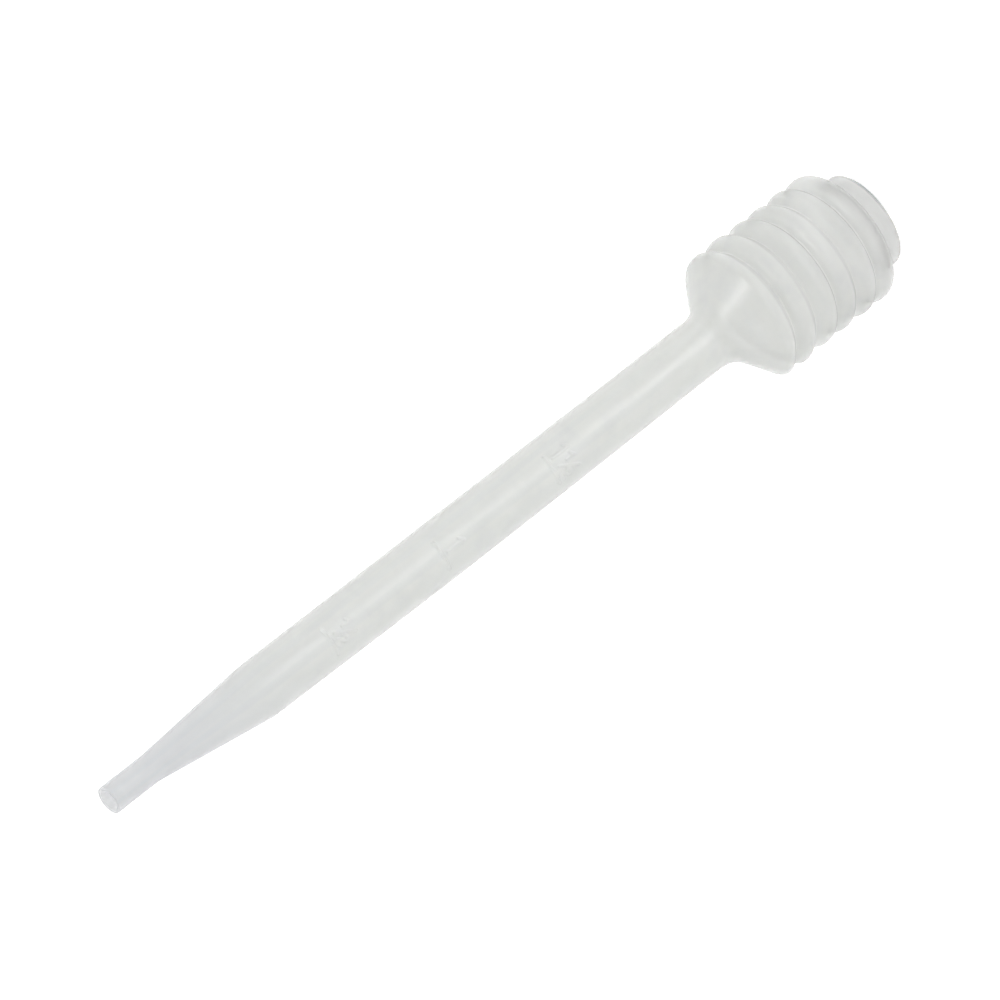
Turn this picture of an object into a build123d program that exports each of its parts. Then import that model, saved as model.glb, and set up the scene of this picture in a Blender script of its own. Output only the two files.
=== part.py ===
"""One-piece dropper pipette with a bellows bulb, standing on its flat end. Lengths in millimetres.

It is a thin-walled hollow moulding. From the table up it has a small flat end, six rounded
folds, a shoulder, a long tube with three raised graduation marks, a taper and a straight tip
that is open at the top. Lying down it would roll, so it stands tip up, as the real one can.
The origin is at the middle of the flat end. +Z runs up to the tip, and the graduation marks
are on the front, towards -Y.
"""
from build123d import *

import os
from math import asin, atan2, cos, degrees, hypot, radians, sin

# Heights above the table
overall_height = 150.0
tip_start = 141.9
tube_top = 121.6
tube_widest = 86.0
neck_height = 32.6
cap_groove_height = 3.1
cap_side_top = 1.8

# Outer radii, and the rounds between them
tip_radius = 2.2
tube_top_radius = 4.33
tube_widest_radius = 4.43
neck_radius = 4.22
neck_round = 3.9
groove_radius = 9.35
groove_round = 0.2
cap_radius = 7.6
cap_groove_radius = 7.1
cap_shoulder_round = 0.6
cap_rim_round = 0.3

# The six folds from the lowest up, a little uneven as moulded: height and radius of each crest
# and the round over it, which is tighter at the shoulder
crests = (
    (5.2, 10.55, 1.7),
    (8.8, 10.6, 1.7),
    (12.9, 10.6, 1.7),
    (16.6, 10.6, 1.7),
    (21.1, 10.78, 1.7),
    (24.9, 10.6, 1.3),
)

# The moulded wall, a little thicker in the drawn tip
wall = 0.5
tip_bore_radius = 1.65
inner_rim_round = 0.1

# The drawn tip stands off the tube's axis, towards +X
tip_shift = 0.65

# Graduation marks: three raised arcs, evenly spaced down the tube from the tip
mark_heights = (109.4, 87.4, 65.4)
mark_width = 0.4
mark_stand_out = 0.18
mark_arc = 60.0
mark_middle = 258.5  # degrees about the axis from +X, so just left of the front


def wall_rounds(inset):
    """The rounds of the bulb's wall from the cap up to the neck: centre out, centre up, radius.

    The radius is negative where the wall is hollow. The inner skin has the same centres.
    """
    rounds = [
        (cap_radius - cap_shoulder_round, cap_side_top, cap_shoulder_round - inset),
        (cap_groove_radius + groove_round, cap_groove_height, -(groove_round + inset)),
    ]
    for crest_height, crest_radius, crest_round in crests:
        if len(rounds) > 2:
            middle = (rounds[-1][1] + crest_height) / 2
            rounds.append((groove_radius + groove_round, middle, -(groove_round + inset)))
        rounds.append((crest_radius - crest_round, crest_height, crest_round - inset))
    rounds.append((neck_radius + neck_round, neck_height, -(neck_round + inset)))
    return rounds


def flank_angle(below, above):
    """The direction, in degrees, of the straight flank that touches two rounds."""
    out = above[0] - below[0]
    up = above[1] - below[1]
    return degrees(atan2(up, out) + asin((below[2] - above[2]) / hypot(out, up)))


def touch_point(wall_round, angle):
    """Where a flank of that direction touches a round."""
    out, up, radius = wall_round
    return (out + radius * sin(radians(angle)), up - radius * cos(radians(angle)))


def draw_bulb_wall(inset):
    """The wall's line from the cap's side to the neck: rounds joined by straight flanks."""
    rounds = wall_rounds(inset)
    angles = [90.0] + [flank_angle(a, b) for a, b in zip(rounds, rounds[1:])] + [90.0]
    for wall_round, arriving, leaving in zip(rounds, angles, angles[1:]):
        side = -90 if wall_round[2] > 0 else 90
        CenterArc(wall_round[:2], abs(wall_round[2]), arriving + side, leaving - arriving)
    for below, above, angle in zip(rounds, rounds[1:], angles[1:]):
        Line(touch_point(below, angle), touch_point(above, angle))


def draw_section(inset, rim_round):
    """Half of the bulb and tube as a closed outline on the axis, set in from the outside."""
    cap_side = cap_radius - inset
    FilletPolyline((0, inset), (cap_side, inset), (cap_side, cap_side_top), radius=rim_round)
    draw_bulb_wall(inset)
    neck = (neck_radius - inset, neck_height)
    widest = (tube_widest_radius - inset, tube_widest)
    top = (tube_top_radius - inset, tube_top)
    Polyline(neck, widest, top, (0, tube_top), (0, inset))


# The outside: bulb and tube turned in one with their marks, then the slanting taper and the tip
with BuildPart() as outside:
    with BuildSketch(Plane.XZ):
        with BuildLine():
            draw_section(0, cap_rim_round)
        make_face()
    revolve(axis=Axis.Z)
    for mark_height in mark_heights:
        with BuildSketch(Plane.XZ.rotated((0, 0, mark_middle - mark_arc / 2))):
            with Locations((tube_widest_radius, mark_height)):
                Rectangle(2 * mark_stand_out, mark_width)
        revolve(axis=Axis.Z, revolution_arc=mark_arc)
    with BuildSketch(Plane.XY.offset(tube_top)):
        Circle(tube_top_radius)
    with BuildSketch(Plane.XY.offset(tip_start)):
        with Locations((tip_shift, 0)):
            Circle(tip_radius)
    loft(ruled=True)
    with BuildSketch(Plane.XY.offset(tip_start)):
        with Locations((tip_shift, 0)):
            Circle(tip_radius)
    extrude(amount=overall_height - tip_start)

# The inside: the same form one wall in, as a solid of air
with BuildPart() as inside:
    with BuildSketch(Plane.XZ):
        with BuildLine():
            draw_section(wall, inner_rim_round)
        make_face()
    revolve(axis=Axis.Z)
    with BuildSketch(Plane.XY.offset(tube_top)):
        Circle(tube_top_radius - wall)
    with BuildSketch(Plane.XY.offset(tip_start)):
        with Locations((tip_shift, 0)):
            Circle(tip_bore_radius)
    loft(ruled=True)
    with BuildSketch(Plane.XY.offset(tip_start)):
        with Locations((tip_shift, 0)):
            Circle(tip_bore_radius)
    extrude(amount=overall_height - tip_start)

with BuildPart() as dropper_pipette:
    add(outside.part)
    add(inside.part, mode=Mode.SUBTRACT)

dropper_pipette.part.label = "dropper_pipette"
os.makedirs("parts", exist_ok=True)
export_step(dropper_pipette.part, "parts/dropper_pipette.step")
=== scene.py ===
"""Looks for a one-piece moulded dropper pipette that stands on the flat end of its bulb.

The whole pipette is one closed skin of natural low-density polyethylene: an outside, a lip at
the mouth of the tip, and an inside one wall in. Sizes are in millimetres until the mesh is made.
"""

import math

import bpy
import numpy as np
from mathutils import Matrix, Quaternion, Vector


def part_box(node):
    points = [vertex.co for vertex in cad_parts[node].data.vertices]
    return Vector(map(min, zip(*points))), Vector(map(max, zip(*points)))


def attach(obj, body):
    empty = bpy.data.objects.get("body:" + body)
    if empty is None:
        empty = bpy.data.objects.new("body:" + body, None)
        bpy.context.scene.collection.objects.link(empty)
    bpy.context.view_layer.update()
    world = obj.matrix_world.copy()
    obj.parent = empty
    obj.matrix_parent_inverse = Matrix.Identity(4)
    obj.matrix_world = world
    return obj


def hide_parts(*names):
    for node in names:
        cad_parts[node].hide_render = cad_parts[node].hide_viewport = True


bl_info = {
    "name": "Moulded dropper pipette",
    "version": (1, 0, 0),
    "blender": (4, 5, 0),
    "location": "View3D > Sidebar > Pipette",
    "description": "Builds a translucent dropper pipette with a bellows bulb, and a plain studio",
    "category": "Add Mesh",
}

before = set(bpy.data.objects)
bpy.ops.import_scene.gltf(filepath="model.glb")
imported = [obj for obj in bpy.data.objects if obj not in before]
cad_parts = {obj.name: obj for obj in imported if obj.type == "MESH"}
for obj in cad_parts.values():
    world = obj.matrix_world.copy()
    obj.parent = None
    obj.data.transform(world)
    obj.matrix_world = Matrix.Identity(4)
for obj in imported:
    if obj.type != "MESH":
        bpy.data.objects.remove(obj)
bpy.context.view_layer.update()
NODE = "dropper_pipette"
NODE_LOW, NODE_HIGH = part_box(NODE)
MM = 0.001
# The height of the mouth, and how far out the widest fold comes, in mm
HEIGHT, REACH = NODE_HIGH.z / MM, NODE_HIGH.x / MM

# ---------- sizes of the moulding, in mm; heights are above the table ----------

# The six folds from the lowest up: height and radius of each crest, and the round over it
CRESTS = (
    (5.2, 10.55, 1.7),
    (8.8, 10.6, 1.7),
    (12.9, 10.6, 1.7),
    (16.6, 10.6, 1.7),
    (21.1, REACH, 1.7),
    (24.9, 10.6, 1.3),
)
CAP_RADIUS, CAP_SIDE_TOP, CAP_SHOULDER_ROUND, CAP_RIM_ROUND = 7.6, 1.8, 0.6, 0.3
CAP_GROOVE_RADIUS, CAP_GROOVE_HEIGHT, GROOVE_ROUND = 7.1, 3.1, 0.2
NECK_RADIUS, NECK_HEIGHT, NECK_ROUND = 4.22, 32.6, 3.9
TUBE_WIDEST_RADIUS, TUBE_WIDEST = 4.43, 86.0
TUBE_TOP_RADIUS, TUBE_TOP = 4.33, 121.6
TIP_RADIUS, TIP_BORE_RADIUS, TIP_START = 2.2, 1.65, 141.9
INNER_RIM_ROUND = 0.1

# The rounded lip: how far each point lies in from the outside or out from the bore, and how far
# below the mouth. Both sides of the tip's wall run straight up to where the round starts
LIP_ROUND = 0.12
LIP_OUTSIDE = ((0.035, 0.035), (LIP_ROUND, 0.0))
LIP_BORE = ((0.1, 0.0), (0.03, 0.03))

# The sagging side of the shoulder: its middle and width in degrees about the axis from +X, the
# heights between which the skin is drawn down, and how far out it goes for each mm down
SAG_MIDDLE, SAG_WIDTH, SAG_LOW, SAG_TOP, SAG_OUT = 143.5, 37.5, 16.0, 37.8, 0.13

# Raised graduation marks, evenly spaced and counted from the tip, and their numerals.
# Angles are in degrees about the axis from +X, so 270 is the front. The edges of both are soft
MARK_HEIGHTS = (109.4, 87.4, 65.4)
MARK_WIDTH, MARK_ARC, MARK_MIDDLE = 0.4, 60.0, 258.5
NUMERAL_GAP, NUMERAL_STROKE, NUMERAL_MIDDLE = 0.7, 0.4, 259.0
EDGE_SOFTNESS = 0.1

# Strokes of the numerals one half, one, and one and a half: right and up from the middle of the
# foot. The fraction is a small 1 and 2 on either side of a slash
FIGURE_ONE = ((-0.6, 2.75), (0.0, 3.45), (0.0, 0.2))
HALF = (
    ((-1.35, 2.95), (-0.85, 3.45), (-0.85, 1.95)),
    ((0.95, 3.45), (-0.75, 0.3)),
    ((0.3, 1.3), (0.5, 1.6), (0.95, 1.7), (1.3, 1.45), (1.2, 1.05), (0.3, 0.2), (1.4, 0.2)),
)
ONE_LEFT, HALF_RIGHT = 1.4, 0.85
ONE_AND_A_HALF = (
    [(x - ONE_LEFT, y) for x, y in FIGURE_ONE],
    *([(x + HALF_RIGHT, y) for x, y in stroke] for stroke in HALF),
)
NUMERALS = (HALF, (FIGURE_ONE,), ONE_AND_A_HALF)

# Spacing of the skin's points: along the straight runs, and in degrees around the rounds. They are
# close together over the marks and numerals, in a zone from below to above each mark and in a
# sector in degrees about the axis. The rest of the way around has the other columns of points
FLAT_STEP, OUTER_STEP, INNER_STEP = 1.8, 1.5, 3.0
RIM_TURN, OUTER_TURN, INNER_TURN = 15, 12, 18
CLOSE_STEP, CLOSE_ZONE, CLOSE_SECTOR, OTHER_COLUMNS = 0.105, (-5.2, 0.5), (224, 293), 108

# ---------- finish of the plastic ----------

# Colours of the streaks, which also paint two dark reflections along the tube, and of the painted
# light that makes the flat end paler, as sRGB hex
STREAK_AND_REFLECTION_COLOUR, FLAT_END_PAINTED_LIGHT = "C7CFD7", "FAFBF7"

# Angles about the axis of the two painted dark reflections along the tube and of the painted dark
# reflection on the flat end's rim, and how far each reaches to either side, in degrees
PAINTED_DARK_REFLECTIONS, DARK_REFLECTION_REACH, RIM_REFLECTION_MIDDLE, RIM_REFLECTION_REACH = (260, 303), 11, 295, 40

# The streaks: the radius of the tube that they lie around and how far apart they are, in mm, and
# their width as a share of their length
STREAK_RADIUS, STREAK_SPACING, STREAK_SLIMNESS = 4.4, 2.0, 0.03

# Sizes of the flow clouds and the satin grain, the depth of the grain, and how far light spreads
# inside the plastic, in mm
CLOUD_SIZE, GRAIN_SIZE, GRAIN_DEPTH, LIGHT_SPREAD = 5.0, 0.4, 0.02, 12.0

# How the plastic changes with height: the two heights in mm between which each amount changes, and
# the amount at the first and at the second
CHANGES = {
    "tube streaks": (30.0, 60.0, 0.0, 0.3),
    "taper streaks": (105.0, 130.0, 0.0, 0.2),
    "drawn colour": (105.0, 140.0, 0.0, 0.65),
    # painted light: the flat end is made paler, against the shade near the floor
    "flat end painted light": (7.0, 4.5, 0.0, 0.8),
    "thin clearness": (2.0, 6.0, -0.16, 0.0),
    # the painted dark reflection on the rim of the flat end
    "rim reflection": (0.6, 0.2, 0.0, 0.85),
}
LEAST_MILKINESS = 0.05

# Where the inside turns as milky as it is at the mouth, as heights, and where the rim of the flat
# end starts, as radii, in mm
MOUTH_ZONE, RIM_ZONE = (147.8, 148.6), (7.2, 7.4)

# ---------- studio, in metres, watts and degrees ----------

# The floor's half width, its grey, how much it glows where it is seen, and how strongly the pale
# surroundings light the object
FLOOR_HALF, FLOOR_GREY, FLOOR_GLOW, FILL = 20.0, 0.9, 0.55, 0.715

# A softbox high at the front right: its direction and distance from halfway up the pipette
SOFTBOX_AZIMUTH, SOFTBOX_ELEVATION, SOFTBOX_AWAY = 50, 58, 1.2
SOFTBOX_SIZE, SOFTBOX_POWER = (0.25, 0.25), 3.0

# Strips that lie on the floor in front and draw the long highlight up the tube, the farther one
# wider so that the highlight is as broad by the tip as by the bulb: distance, size and power
STRIPS = (
    ("floor_strip_near", 0.115, (0.035, 0.13), 0.06),
    ("floor_strip_far", 0.25, (0.09, 0.14), 0.175),
)
STRIP_AZIMUTH, STRIP_LIFT = 7, 0.001

# The camera looks down at the front, and is rolled so that the tip points down to the left. Its
# long lens, in mm, keeps the view nearly free of perspective
CAMERA_ELEVATION, TIP_BELOW_LEVEL = 26, 37.86
CAMERA_AIM, VIEW_WIDTH = Vector((0.000255, 0, 0.07292)), 0.1416
CAMERA_LENS, CAMERA_REACH = 1000, 100


class PipetteForm(bpy.types.PropertyGroup):
    """Sizes of the moulding."""

    wall: bpy.props.FloatProperty(
        name="Wall", description="Thickness of the blown wall, in mm", default=0.5, min=0.2, max=1.0
    )
    groove_radius: bpy.props.FloatProperty(
        name="Groove radius", description="How far in the grooves between folds go, in mm",
        default=9.35,
    )
    tip_shift: bpy.props.FloatProperty(
        name="Tip shift", description="How far the drawn tip stands off the axis, in mm",
        default=0.65,
    )
    tube_bow: bpy.props.FloatProperty(
        name="Tube bow", description="How far the middle of the tube bows sideways, in mm",
        default=0.17,
    )
    mark_relief: bpy.props.FloatProperty(
        name="Mark relief", description="How far the graduation marks stand out, in mm",
        default=0.18,
    )
    numeral_relief: bpy.props.FloatProperty(
        name="Numeral relief", description="How far the numerals stand out, in mm", default=0.12
    )
    fold_lean: bpy.props.FloatProperty(
        name="Fold lean", description="How far the fifth fold rises on its right side, in mm",
        default=-0.3,
    )
    slump: bpy.props.FloatProperty(
        name="Shoulder slump",
        description="How far the back left of the shoulder sags towards the flat end, in mm",
        default=1.85,
    )


class PipetteFinish(bpy.types.PropertyGroup):
    """Colour and gloss of the plastic."""

    body_colour: bpy.props.StringProperty(
        name="Body colour", description="Natural polyethylene, as an sRGB hex value",
        default="DFE2DA",
    )
    drawn_colour: bpy.props.StringProperty(
        name="Drawn colour",
        description="The cooler grey of the drawn tip and of flow marks, as sRGB hex",
        default="C4C8D3",
    )
    # the colour of the painted dark reflection on the rim of the flat end
    rim_reflection_colour: bpy.props.StringProperty(
        name="Rim reflection colour", description="The dark line on the rim of the flat end, as sRGB hex",
        default="707E85",
    )
    roughness: bpy.props.FloatProperty(
        name="Roughness", description="Satin gloss of the moulded skin", default=0.27, min=0, max=1,
        subtype="FACTOR",
    )
    milkiness: bpy.props.FloatProperty(
        name="Milkiness", description="Share of light that the outside of the wall scatters",
        default=0.56, min=0, max=1, subtype="FACTOR",
    )
    inner_milkiness: bpy.props.FloatProperty(
        name="Inner milkiness", description="Share of light that the inside of the wall scatters",
        default=0.02, min=0, max=1, subtype="FACTOR",
    )
    mouth_milkiness: bpy.props.FloatProperty(
        name="Mouth milkiness", description="The same inside the thick tip, near its mouth",
        default=0.33, min=0, max=1, subtype="FACTOR",
    )


# ---------- the outline of the moulding, as rounds joined by straight flanks ----------


def wall_rounds(form, inset):
    """Rounds of the bulb's wall from the cap up to the neck: out, up, radius, which is negative
    where the wall is hollow."""
    rounds = [
        (CAP_RADIUS - CAP_SHOULDER_ROUND, CAP_SIDE_TOP, CAP_SHOULDER_ROUND - inset),
        (CAP_GROOVE_RADIUS + GROOVE_ROUND, CAP_GROOVE_HEIGHT, -(GROOVE_ROUND + inset)),
    ]
    for height, radius, crest_round in CRESTS:
        if len(rounds) > 2:
            middle = (rounds[-1][1] + height) / 2
            rounds.append((form.groove_radius + GROOVE_ROUND, middle, -(GROOVE_ROUND + inset)))
        rounds.append((radius - crest_round, height, crest_round - inset))
    rounds.append((NECK_RADIUS + NECK_ROUND, NECK_HEIGHT, -(NECK_ROUND + inset)))
    return rounds


def flank_angle(below, above):
    """Direction of the straight flank that touches two rounds."""
    out, up = above[0] - below[0], above[1] - below[1]
    return math.atan2(up, out) + math.asin((below[2] - above[2]) / math.hypot(out, up))


def bulb_outline(form, inset, spacing):
    """Points (out, up) along the bulb's wall from the cap's side to the neck. The spacing is the
    turn between points, in degrees."""
    rounds = wall_rounds(form, inset)
    flanks = [flank_angle(a, b) for a, b in zip(rounds, rounds[1:])]
    angles = [math.pi / 2] + flanks + [math.pi / 2]
    points = []
    for (out, up, radius), arriving, leaving in zip(rounds, angles, angles[1:]):
        turn = leaving - arriving
        steps = max(3, round(abs(turn) / math.radians(spacing)))
        for i in range(steps + 1):
            a = arriving + turn * i / steps
            points.append((out + radius * math.sin(a), up - radius * math.cos(a)))
    return points


def cap_outline(inset, rim):
    """Points (out, up) from the middle of the flat end round the rim to the cap's side."""
    corner = CAP_RADIUS - inset - rim
    count = round(corner / FLAT_STEP)
    points = [(corner * i / count, inset) for i in range(count + 1)]
    for turn in range(RIM_TURN, 91, RIM_TURN):
        a = math.radians(turn)
        points.append((corner + rim * math.sin(a), inset + rim - rim * math.cos(a)))
    return points


def tube_outline(inset, tip_radius, step, close_up):
    """Points (out, up) from the neck to the mouth, close together over each mark and numeral."""
    corners = (
        (NECK_RADIUS - inset, NECK_HEIGHT),
        (TUBE_WIDEST_RADIUS - inset, TUBE_WIDEST),
        (TUBE_TOP_RADIUS - inset, TUBE_TOP),
        (tip_radius, TIP_START),
        (tip_radius, HEIGHT - LIP_ROUND),
    )
    outs, ups = [c[0] for c in corners], [c[1] for c in corners]
    zones = [[height + end for end in CLOSE_ZONE] for height in MARK_HEIGHTS if close_up]
    stops = sorted({*ups, *(end for zone in zones for end in zone)})
    points = []
    for low, high in zip(stops, stops[1:]):
        close = any(start <= low < end for start, end in zones)
        count = max(1, round((high - low) / (CLOSE_STEP if close else step)))
        for i in range(1, count + 1):
            up = low + (high - low) * i / count
            points.append((float(np.interp(up, ups, outs)), up))
    return points


def skin_line(form):
    """Points (out, up) of the skin from the middle of the flat end up the outside, over the lip
    and down the inside, and how many of them are on the outside."""
    outer = cap_outline(0.0, CAP_RIM_ROUND) + bulb_outline(form, 0.0, OUTER_TURN)
    outer += tube_outline(0.0, TIP_RADIUS, OUTER_STEP, True)
    inner = cap_outline(form.wall, INNER_RIM_ROUND) + bulb_outline(form, form.wall, INNER_TURN)
    inner += tube_outline(form.wall, TIP_BORE_RADIUS, INNER_STEP, False)
    lip = [(TIP_RADIUS - across, HEIGHT - down) for across, down in LIP_OUTSIDE]
    lip += [(TIP_BORE_RADIUS + across, HEIGHT - down) for across, down in LIP_BORE]
    return np.array(outer + lip + inner[::-1]), len(outer)


# ---------- how the real skin departs from a turned form ----------


def smooth(x):
    """Goes smoothly from 0 to 1."""
    x = np.clip(x, 0, 1)
    return x * x * (3 - 2 * x)


def turn_from(angle, middle):
    """Turns in degrees, from -180 to 180, from a middle in degrees to angles in radians."""
    return np.degrees(np.angle(np.exp(1j * (angle - math.radians(middle)))))


def centre_shift(form, up):
    """How far the skin's centre stands off the axis towards +X at a height."""
    drawn = form.tip_shift * np.clip((up - TUBE_TOP) / (TIP_START - TUBE_TOP), 0, 1)
    along = np.clip((up - NECK_HEIGHT) / (TUBE_TOP - NECK_HEIGHT), 0, 1)
    return drawn - form.tube_bow * np.sin(math.pi * along)


def sag(form, angle, up):
    """The sagging side of the shoulder: how far down it goes, and how far out."""
    top_crest = CRESTS[-1][0]
    side = np.exp(-((turn_from(angle, SAG_MIDDLE) / SAG_WIDTH) ** 2))
    above = np.sqrt(smooth((SAG_TOP - up) / (SAG_TOP - top_crest)))
    below = smooth((up - SAG_LOW) / (top_crest - SAG_LOW))
    down = form.slump * (side * np.where(up > top_crest, above, below))
    return down, down * SAG_OUT


def lean(form, angle, up):
    """How far the leaning fifth fold rises at an angle, fading out at the crests beside it."""
    crest_heights = [crest[0] for crest in CRESTS[-3:]]
    return form.fold_lean * np.interp(up, crest_heights, (0, 1, 0), left=0, right=0) * np.cos(angle)


def stroke_distance(across, along, strokes):
    """Distance from points on the tube's skin to a numeral's nearest stroke."""
    best = np.full(np.broadcast(across, along).shape, np.inf)
    for (x0, y0), (x1, y1) in (pair for stroke in strokes for pair in zip(stroke, stroke[1:])):
        run = (x1 - x0) ** 2 + (y1 - y0) ** 2
        t = np.clip(((across - x0) * (x1 - x0) + (along - y0) * (y1 - y0)) / run, 0, 1)
        away = np.hypot(across - x0 - t * (x1 - x0), along - y0 - t * (y1 - y0))
        best = np.minimum(best, away)
    return best


def ridge(away, width):
    """A ridge of height 1 with soft edges, from the distance to its middle."""
    return smooth((width / 2 + EDGE_SOFTNESS - away) / (2 * EDGE_SOFTNESS))


def relief(form, angle, up):
    """How far the marks and numerals stand out of the tube."""
    height = np.zeros(np.broadcast(angle, up).shape)
    past_end = np.maximum(np.abs(turn_from(angle, MARK_MIDDLE)) - MARK_ARC / 2, 0)
    beyond = np.radians(past_end) * TUBE_WIDEST_RADIUS
    # the numerals are upright when the tip points down
    across = (math.radians(NUMERAL_MIDDLE) - angle) * TUBE_WIDEST_RADIUS
    for mark_height, numeral in zip(MARK_HEIGHTS, NUMERALS):
        mark_away = np.hypot(beyond, up - mark_height)
        numeral_away = stroke_distance(across, mark_height - NUMERAL_GAP - up, numeral)
        height = np.maximum(height, form.mark_relief * ridge(mark_away, MARK_WIDTH))
        height = np.maximum(height, form.numeral_relief * ridge(numeral_away, NUMERAL_STROKE))
    return height


# ---------- the skin ----------


def skin_columns():
    """Angles about the axis, close together in the sector of the marks."""
    start, end = (math.radians(a) for a in CLOSE_SECTOR)
    count = round((end - start) * TUBE_WIDEST_RADIUS / CLOSE_STEP)
    close = np.linspace(start, end, count, endpoint=False)
    return np.concatenate(
        [close, np.linspace(end, start + 2 * math.pi, OTHER_COLUMNS, endpoint=False)]
    )


def skin_faces(rows, cols, inside_from):
    """Faces between the rows of points, and from the first and last row to the outer and inner
    middle of the flat end, whose points follow the rows. Also 1 for each face on the inside."""
    outer_middle, inner_middle = rows * cols, rows * cols + 1
    faces, inside = [], []
    for r in range(rows - 1):
        inside += [int(r >= inside_from)] * cols
        for c in range(cols):
            d = (c + 1) % cols
            faces.append((r * cols + c, r * cols + d, (r + 1) * cols + d, (r + 1) * cols + c))
    last = (rows - 1) * cols
    for c in range(cols):
        d = (c + 1) % cols
        faces += [(d, c, outer_middle), (last + c, last + d, inner_middle)]
        inside += [0, 1]
    return faces, inside


def build_skin(form):
    """The closed skin as vertices in metres, faces, and 1 for each face that is on the inside."""
    angles = skin_columns()
    line, outside_count = skin_line(form)
    out, up = line[:, 0][:, None], line[:, 1][:, None]
    on_outside = np.arange(len(line))[:, None] < outside_count
    down, wider = sag(form, angles, up)
    raised = relief(form, angles % (2 * math.pi), up) * on_outside
    radius = out + np.minimum(out / NECK_RADIUS, 1) * wider + raised
    # the skin stays inside the box of the solid that it stands for
    x = np.clip(radius * np.cos(angles) + centre_shift(form, up), NODE_LOW.x / MM, REACH)
    y = np.clip(radius * np.sin(angles), NODE_LOW.y / MM, NODE_HIGH.y / MM)
    z = up - down + lean(form, angles, up)
    # the line's first and last point are on the axis, and are no rows
    rows = np.stack([x, y, z], axis=-1)[1:-1]
    ends = [[0, 0, line[0, 1]], [0, 0, line[-1, 1]]]
    points = np.concatenate([rows.reshape(-1, 3), ends]) * MM
    # the inside starts at the last row of the lip
    lip_end = outside_count + len(LIP_OUTSIDE + LIP_BORE) - 2
    return points, *skin_faces(rows.shape[0], rows.shape[1], lip_end)


# ---------- materials ----------


def linear(hex_colour):
    """sRGB hex to linear RGBA."""
    parts = [int(hex_colour[i : i + 2], 16) / 255 for i in (0, 2, 4)]
    rgb = [c / 12.92 if c <= 0.04045 else ((c + 0.055) / 1.055) ** 2.4 for c in parts]
    return (*rgb, 1.0)


def add_node(tree, kind, inputs=None, **settings):
    """Adds a node with its settings. An input takes a value, an output to link, or another node,
    whose first output is linked."""
    node = tree.nodes.new(kind)
    for key, value in settings.items():
        setattr(node, key, value)
    for socket, value in (inputs or {}).items():
        source = value.outputs[0] if isinstance(value, bpy.types.Node) else value
        if isinstance(source, bpy.types.NodeSocket):
            tree.links.new(source, node.inputs[socket])
        else:
            node.inputs[socket].default_value = source
    return node


def lengthwise_line(tree, around, angle, reach):
    """A soft lengthwise line at an angle about the axis, which fades out over that many degrees
    to each side."""
    a = math.radians(angle)
    towards = add_node(
        tree, "ShaderNodeVectorMath", {0: around, 1: (math.cos(a), math.sin(a), 0)},
        operation="DOT_PRODUCT",
    )
    return add_node(
        tree, "ShaderNodeMapRange",
        {"Value": towards.outputs["Value"], "From Min": math.cos(math.radians(reach)),
         "From Max": 1.0},
        interpolation_type="SMOOTHSTEP",
    )


def streaks_and_dark_reflections(tree, place, around, at_height):
    """Streaks along the tube: many faint ones left when it was drawn, and two painted dark
    reflections.
    """
    wrapped = add_node(
        tree, "ShaderNodeVectorMath", {0: around, 1: (STREAK_RADIUS * MM, STREAK_RADIUS * MM, 0)},
        operation="MULTIPLY",
    )
    stretched = add_node(
        tree, "ShaderNodeVectorMath", {0: place, 1: (0, 0, STREAK_SLIMNESS)}, operation="MULTIPLY"
    )
    drawn_out = add_node(
        tree, "ShaderNodeVectorMath", {0: wrapped, 1: stretched}, operation="ADD"
    )
    noise = add_node(
        tree, "ShaderNodeTexNoise",
        {"Vector": drawn_out, "Scale": 1 / (STREAK_SPACING * MM), "Detail": 2.0},
    )
    streaks = add_node(
        tree, "ShaderNodeMapRange",
        {"Value": noise, "From Min": 0.45, "From Max": 0.7}, interpolation_type="SMOOTHSTEP",
    )
    streaks = add_node(tree, "ShaderNodeMath", {0: streaks, 1: 0.5}, operation="MULTIPLY")
    # two painted dark reflections: lengthwise lines at fixed angles about the axis
    for angle in PAINTED_DARK_REFLECTIONS:
        line = lengthwise_line(tree, around, angle, DARK_REFLECTION_REACH)
        streaks = add_node(tree, "ShaderNodeMath", {0: streaks, 1: line}, operation="MAXIMUM")
    strength = add_node(
        tree, "ShaderNodeMath", {0: at_height["tube streaks"], 1: at_height["taper streaks"]},
        operation="ADD",
    )
    return add_node(tree, "ShaderNodeMath", {0: streaks, 1: strength}, operation="MULTIPLY")


def painted_rim_reflection(tree, flat, around, at_height):
    """The painted dark reflection on the rim of the flat end, along part of it."""
    out = add_node(tree, "ShaderNodeVectorMath", {0: flat}, operation="LENGTH")
    at_rim = add_node(
        tree, "ShaderNodeMapRange",
        {"Value": out.outputs["Value"], "From Min": RIM_ZONE[0] * MM, "From Max": RIM_ZONE[1] * MM},
        interpolation_type="SMOOTHSTEP",
    )
    ring = add_node(
        tree, "ShaderNodeMath", {0: at_height["rim reflection"], 1: at_rim}, operation="MULTIPLY"
    )
    line = lengthwise_line(tree, around, RIM_REFLECTION_MIDDLE, RIM_REFLECTION_REACH)
    return add_node(tree, "ShaderNodeMath", {0: line, 1: ring}, operation="MULTIPLY")


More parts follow.
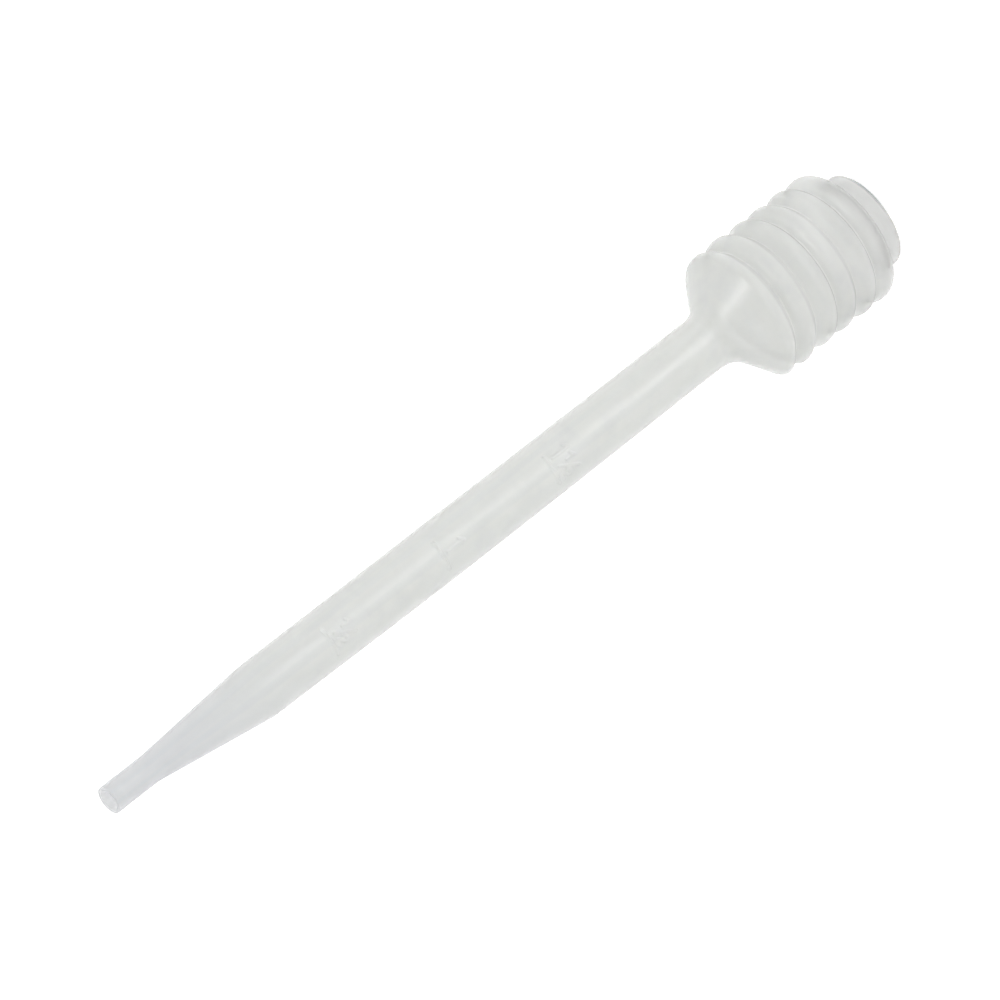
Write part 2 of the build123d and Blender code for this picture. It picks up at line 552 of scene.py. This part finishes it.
def natural_ldpe(name, finish, milkiness, at_mouth):
    """Natural low-density polyethylene, blow moulded: milky and satin, and light passes through
    it. It is clearest at the flat end, where the wall is thinnest, and painted paler there, a
    painted light against the shade near the floor. It is greyer and cooler in the drawn tip, where
    the wall is thick, and streaked lengthwise where the tube was drawn, two of the lines being
    painted dark reflections. A painted dark reflection lies on part of the flat end's rim."""
    material = bpy.data.materials.new(name)
    material.use_nodes = True
    tree = material.node_tree
    tree.nodes.clear()
    place = add_node(tree, "ShaderNodeTexCoord").outputs["Object"]
    height = add_node(tree, "ShaderNodeSeparateXYZ", {0: place}).outputs["Z"]
    flat = add_node(tree, "ShaderNodeVectorMath", {0: place, 1: (1, 1, 0)}, operation="MULTIPLY")
    around = add_node(tree, "ShaderNodeVectorMath", {0: flat}, operation="NORMALIZE")
    changes = CHANGES | {"milkiness": (*MOUTH_ZONE, milkiness, at_mouth)}
    at_height = {
        change: add_node(
            tree, "ShaderNodeMapRange",
            {"Value": height, "From Min": start * MM, "From Max": end * MM, "To Min": first,
             "To Max": last},
            interpolation_type="SMOOTHSTEP",
        )
        for change, (start, end, first, last) in changes.items()
    }

    # cloudy flow marks, in the colour of the drawn tip
    noise = add_node(
        tree, "ShaderNodeTexNoise", {"Vector": place, "Scale": 1 / (CLOUD_SIZE * MM), "Detail": 3.0}
    )
    clouds = add_node(
        tree, "ShaderNodeMapRange",
        {"Value": noise, "From Min": 0.4, "From Max": 0.75, "To Max": 0.35},
        interpolation_type="SMOOTHSTEP",
    )
    cool = add_node(
        tree, "ShaderNodeMath", {0: clouds, 1: at_height["drawn colour"]}, operation="MAXIMUM"
    )
    streaks = streaks_and_dark_reflections(tree, place, around, at_height)
    rim = painted_rim_reflection(tree, flat, around, at_height)
    colour = linear(finish.body_colour)
    for amount, laid_over in (
        (cool, finish.drawn_colour),
        # the streak colour also paints the two dark reflections along the tube
        (streaks, STREAK_AND_REFLECTION_COLOUR),
        # painted light that makes the flat end paler, against the shade near the floor
        (at_height["flat end painted light"], FLAT_END_PAINTED_LIGHT),
        # painted dark reflection on part of the flat end's rim
        (rim, finish.rim_reflection_colour),
    ):
        mix = add_node(
            tree, "ShaderNodeMix", {"Factor": amount, 6: colour, 7: linear(laid_over)},
            data_type="RGBA",
        )
        colour = mix.outputs[2]

    # the painted dark reflection on the rim hides what is behind it
    alpha = add_node(
        tree, "ShaderNodeMath", {0: at_height["thin clearness"], 1: at_height["milkiness"]},
        operation="ADD",
    )
    for least in (rim, LEAST_MILKINESS):
        alpha = add_node(tree, "ShaderNodeMath", {0: alpha, 1: least}, operation="MAXIMUM")

    # satin grain, as the mould left it
    noise = add_node(
        tree, "ShaderNodeTexNoise", {"Vector": place, "Scale": 1 / (GRAIN_SIZE * MM), "Detail": 2.0}
    )
    grain = add_node(
        tree, "ShaderNodeBump", {"Height": noise, "Strength": 0.25, "Distance": GRAIN_DEPTH * MM}
    )
    # light spreads far inside the milky wall, which evens out the shade in the grooves
    shader = add_node(
        tree, "ShaderNodeBsdfPrincipled",
        {
            "Base Color": colour, "Alpha": alpha, "Normal": grain, "Roughness": finish.roughness,
            "IOR": 1.51, "Subsurface Weight": 1.0, "Subsurface Radius": (1, 1, 1),
            "Subsurface Scale": LIGHT_SPREAD * MM,
        },
    )
    add_node(tree, "ShaderNodeOutputMaterial", {"Surface": shader})
    return material


def backdrop_share(tree):
    """1 where the camera sees a backdrop, also in a reflection or through the plastic, and 0
    where the backdrop only lights the object."""
    path = add_node(tree, "ShaderNodeLightPath")
    seen = add_node(
        tree, "ShaderNodeMath",
        {0: path.outputs["Is Camera Ray"], 1: path.outputs["Is Transmission Ray"]},
        operation="MAXIMUM",
    )
    return add_node(
        tree, "ShaderNodeMath", {0: seen, 1: path.outputs["Is Glossy Ray"]}, operation="MAXIMUM"
    )


def direction(azimuth, elevation):
    """Unit vector, from angles in degrees. Azimuth 0 is the front and 90 the right."""
    a, e = math.radians(azimuth), math.radians(elevation)
    return Vector((math.sin(a) * math.cos(e), -math.cos(a) * math.cos(e), math.sin(e)))


# ---------- operators ----------


class PIPETTE_OT_moulding(bpy.types.Operator):
    """Makes the pipette's one closed skin and gives it its plastic"""

    bl_idname = "pipette.moulding"
    bl_label = "Make the moulding"

    def execute(self, context):
        points, faces, inside = build_skin(context.scene.pipette_form)
        mesh = bpy.data.meshes.new("moulded_pipette")
        mesh.from_pydata(points.tolist(), [], faces)
        if mesh.validate(verbose=True):
            raise RuntimeError("the pipette's skin had bad faces")
        mesh.polygons.foreach_set("use_smooth", [True] * len(mesh.polygons))
        finish = context.scene.pipette_finish
        for name, milkiness, at_mouth in (
            ("natural_ldpe_moulded", finish.milkiness, finish.milkiness),
            ("natural_ldpe_inside", finish.inner_milkiness, finish.mouth_milkiness),
        ):
            mesh.materials.append(natural_ldpe(name, finish, milkiness, at_mouth))
        mesh.polygons.foreach_set("material_index", inside)
        piece = bpy.data.objects.new("moulded_pipette", mesh)
        context.scene.collection.objects.link(piece)
        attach(piece, "root")
        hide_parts(NODE)
        return {"FINISHED"}


class PIPETTE_OT_studio(bpy.types.Operator):
    """Makes the white floor, the soft lamps, the pale surroundings and the camera"""

    bl_idname = "pipette.studio"
    bl_label = "Make the studio"

    def execute(self, context):
        scene = context.scene
        scene.view_settings.view_transform = "Standard"
        self.make_floor(scene)
        self.make_surroundings(scene)
        back = direction(SOFTBOX_AZIMUTH, SOFTBOX_ELEVATION)
        place = Vector((0, 0, HEIGHT * MM / 2)) + back * SOFTBOX_AWAY
        self.make_lamp(scene, "softbox", place, back, SOFTBOX_SIZE, SOFTBOX_POWER)
        for name, away, size, power in STRIPS:
            place = direction(STRIP_AZIMUTH, 0) * away + Vector((0, 0, STRIP_LIFT))
            self.make_lamp(scene, name, place, direction(0, -90), size, power, -STRIP_AZIMUTH)
        self.make_camera(scene)
        return {"FINISHED"}

    def make_floor(self, scene):
        """A matt white floor: evenly white where it is seen, and it keeps the object's shadow."""
        mesh = bpy.data.meshes.new("studio_floor")
        signs = ((-1, -1), (1, -1), (1, 1), (-1, 1))
        corners = [(x * FLOOR_HALF, y * FLOOR_HALF, 0) for x, y in signs]
        mesh.from_pydata(corners, [], [(0, 1, 2, 3)])
        material = bpy.data.materials.new("white_floor")
        material.use_nodes = True
        tree = material.node_tree
        tree.nodes.clear()
        grey = (FLOOR_GREY, FLOOR_GREY, FLOOR_GREY, 1)
        plain = add_node(tree, "ShaderNodeBsdfDiffuse", {"Color": grey})
        glow = add_node(
            tree, "ShaderNodeEmission", {"Color": (1, 1, 1, 1), "Strength": FLOOR_GLOW}
        )
        both = add_node(tree, "ShaderNodeAddShader", {0: plain, 1: glow})
        mix = add_node(tree, "ShaderNodeMixShader", {0: backdrop_share(tree), 1: plain, 2: both})
        add_node(tree, "ShaderNodeOutputMaterial", {"Surface": mix})
        mesh.materials.append(material)
        floor = bpy.data.objects.new("studio_floor", mesh)
        scene.collection.objects.link(floor)

    def make_surroundings(self, scene):
        """White where they are seen, and a softer fill where they light the object."""
        world = bpy.data.worlds.new("studio_surroundings")
        scene.world = world
        world.use_nodes = True
        tree = world.node_tree
        tree.nodes.clear()
        fill, white = (
            add_node(tree, "ShaderNodeBackground", {"Color": (1, 1, 1, 1), "Strength": strength})
            for strength in (FILL, 1.0)
        )
        mix = add_node(tree, "ShaderNodeMixShader", {0: backdrop_share(tree), 1: fill, 2: white})
        add_node(tree, "ShaderNodeOutputWorld", {"Surface": mix})

    def make_lamp(self, scene, name, place, back, size, power, turn=0):
        """A rectangular soft lamp that shines against the direction back, turned about it."""
        data = bpy.data.lights.new(name, "AREA")
        data.shape = "RECTANGLE"
        data.size, data.size_y = size
        data.energy = power
        lamp = bpy.data.objects.new(name, data)
        scene.collection.objects.link(lamp)
        lamp.location = place
        lamp.rotation_mode = "QUATERNION"
        turned = Quaternion(back, math.radians(turn))
        lamp.rotation_quaternion = turned @ (-back).to_track_quat("-Z", "Y")
        lamp.visible_camera = False

    def make_camera(self, scene):
        """The camera, with the pipette from corner to corner of its view."""
        data = bpy.data.cameras.new("studio_camera")
        data.lens = CAMERA_LENS
        data.clip_end = CAMERA_REACH
        camera = bpy.data.objects.new("studio_camera", data)
        scene.collection.objects.link(camera)
        scene.camera = camera
        back = direction(0, CAMERA_ELEVATION)
        up = direction(180, 90 - CAMERA_ELEVATION)
        right = Vector((1, 0, 0))
        turn = math.radians(180 + TIP_BELOW_LEVEL)
        view_right = up * math.cos(turn) + right * math.sin(turn)
        view_up = up * math.sin(turn) - right * math.cos(turn)
        place = CAMERA_AIM + back * VIEW_WIDTH * data.lens / data.sensor_width
        columns = (view_right, view_up, back, place)
        camera.matrix_world = Matrix([[c[i] for c in columns] for i in range(3)] + [[0, 0, 0, 1]])


class PIPETTE_PT_panel(bpy.types.Panel):
    """Lists the pipette's sizes, finish and operators"""

    bl_idname = "PIPETTE_PT_panel"
    bl_label = "Dropper pipette"
    bl_space_type = "VIEW_3D"
    bl_region_type = "UI"
    bl_category = "Pipette"

    def draw(self, context):
        for group in (context.scene.pipette_form, context.scene.pipette_finish):
            for name in group.__annotations__:
                self.layout.prop(group, name)
        for operator in OPERATORS:
            self.layout.operator(operator.bl_idname)


OPERATORS = (PIPETTE_OT_moulding, PIPETTE_OT_studio)
CLASSES = (PipetteForm, PipetteFinish, *OPERATORS, PIPETTE_PT_panel)


def register():
    for cls in CLASSES:
        bpy.utils.register_class(cls)
    bpy.types.Scene.pipette_form = bpy.props.PointerProperty(type=PipetteForm)
    bpy.types.Scene.pipette_finish = bpy.props.PointerProperty(type=PipetteFinish)


def unregister():
    del bpy.types.Scene.pipette_finish
    del bpy.types.Scene.pipette_form
    for cls in reversed(CLASSES):
        bpy.utils.unregister_class(cls)


def main():
    register()
    bpy.ops.pipette.moulding()
    bpy.ops.pipette.studio()


if __name__ == "__main__":
    main()
